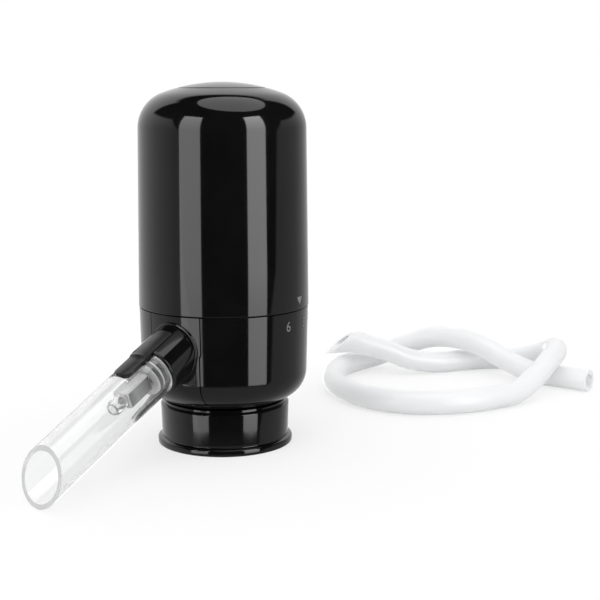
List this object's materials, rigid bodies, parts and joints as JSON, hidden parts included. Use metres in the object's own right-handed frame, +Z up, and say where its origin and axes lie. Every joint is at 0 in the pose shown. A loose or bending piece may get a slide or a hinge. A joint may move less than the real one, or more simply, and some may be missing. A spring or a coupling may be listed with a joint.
{
  "type": "electric wine aerator",
  "caption": "Battery air pump that seats on a bottle's neck and pours wine through a clear slanted spout, with a loose suction hose.",
  "frame": {"origin": "in the plane of the neck rim, below the middle of the space that the body and its spout take up; the body's own axis stands 32.37 mm behind it, at x 0", "axes": "+Z up along the body's axis, -Y the way the spout points, +X to the right seen from the spout's side"},
  "size_m": [0.1148, 0.2602, 0.127],
  "materials": {
    "gloss_black": "polished black moulding",
    "clear_plastic": "clear polished moulding",
    "inner_black": "plain black moulding",
    "inner_white": "plain natural moulding",
    "seal_rubber": "matt black rubber",
    "silicone": "milky translucent silicone, smooth",
    "steel": "plated steel",
    "cell_jacket": "plain printed jacket",
    "board_green": "solder mask"
  },
  "bodies": {
    "base": {"aerator_nozzle": "clear_plastic", "base_manifold": "inner_white", "battery_cell_1": "cell_jacket", "battery_cell_2": "cell_jacket", "battery_cell_3": "cell_jacket", "battery_cell_4": "cell_jacket", "battery_tray": "inner_black", "cell_contact_1": "steel", "cell_contact_2": "steel", "cell_contact_3": "steel", "cell_contact_4": "steel", "contact_bridge_front": "steel", "contact_bridge_rear": "steel", "control_board": "board_green", "deck_screw_1": "steel", "deck_screw_2": "steel", "deck_screw_3": "steel", "deck_screw_4": "steel", "front_panel": "gloss_black", "hose_nipple": "inner_black", "lower_casing": "gloss_black", "motor_can": "steel", "motor_end_cap": "inner_black", "neck_gasket": "seal_rubber", "neck_skirt": "gloss_black", "nozzle_tip": "clear_plastic", "outlet_elbow": "inner_white", "pump_diaphragm": "seal_rubber", "pump_frame": "inner_black", "pump_housing": "inner_white", "pump_valve_plate": "inner_white", "spout_collar": "gloss_black", "spout_latch": "gloss_black", "spout_o_ring_1": "seal_rubber", "spout_o_ring_2": "seal_rubber", "spout_spigot": "clear_plastic", "suction_hose": "silicone", "tact_switch": "inner_black", "tray_cap": "inner_black", "wobble_arm": "inner_white"},
    "dial": {"selector_ring": "inner_black"},
    "cover": {"upper_casing": "gloss_black"},
    "button": {"power_button": "gloss_black"},
    "plunger": {"switch_plunger": "inner_white"},
    "rotor": {"motor_shaft": "steel"},
    "spout": {"clear_spout": "clear_plastic"}
  },
  "joints": [
    {"name": "dial_turn", "type": "hinge", "parent": "base", "child": "dial", "pos_m": [0, 0.03237, 0.0495], "axis": [0, 0, 1], "range_deg": [-12.5, 49.3]},
    {"name": "cover_lift", "type": "slide", "parent": "dial", "child": "cover", "axis": [0, 0, 1], "range_m": [0, 0.08]},
    {"name": "button_press", "type": "slide", "parent": "cover", "child": "button", "axis": [0, 0, -1], "range_m": [0, 0.0012], "stiffness_N_per_m": 900},
    {"name": "plunger_press", "type": "slide", "parent": "base", "child": "plunger", "axis": [0, 0, -1], "range_m": [0, 0.0012]},
    {"name": "rotor_spin", "type": "hinge", "parent": "base", "child": "rotor", "pos_m": [0, 0.04037, 0.03], "axis": [0, 0, 1], "continuous": true},
    {"name": "spout_pull", "type": "slide", "parent": "base", "child": "spout", "axis": [0, -0.9205, -0.3907], "range_m": [0, 0.02]}
  ],
  "couplings": [
    {"joint": "plunger_press", "follows": "button_press", "ratio": 1}
  ]
}
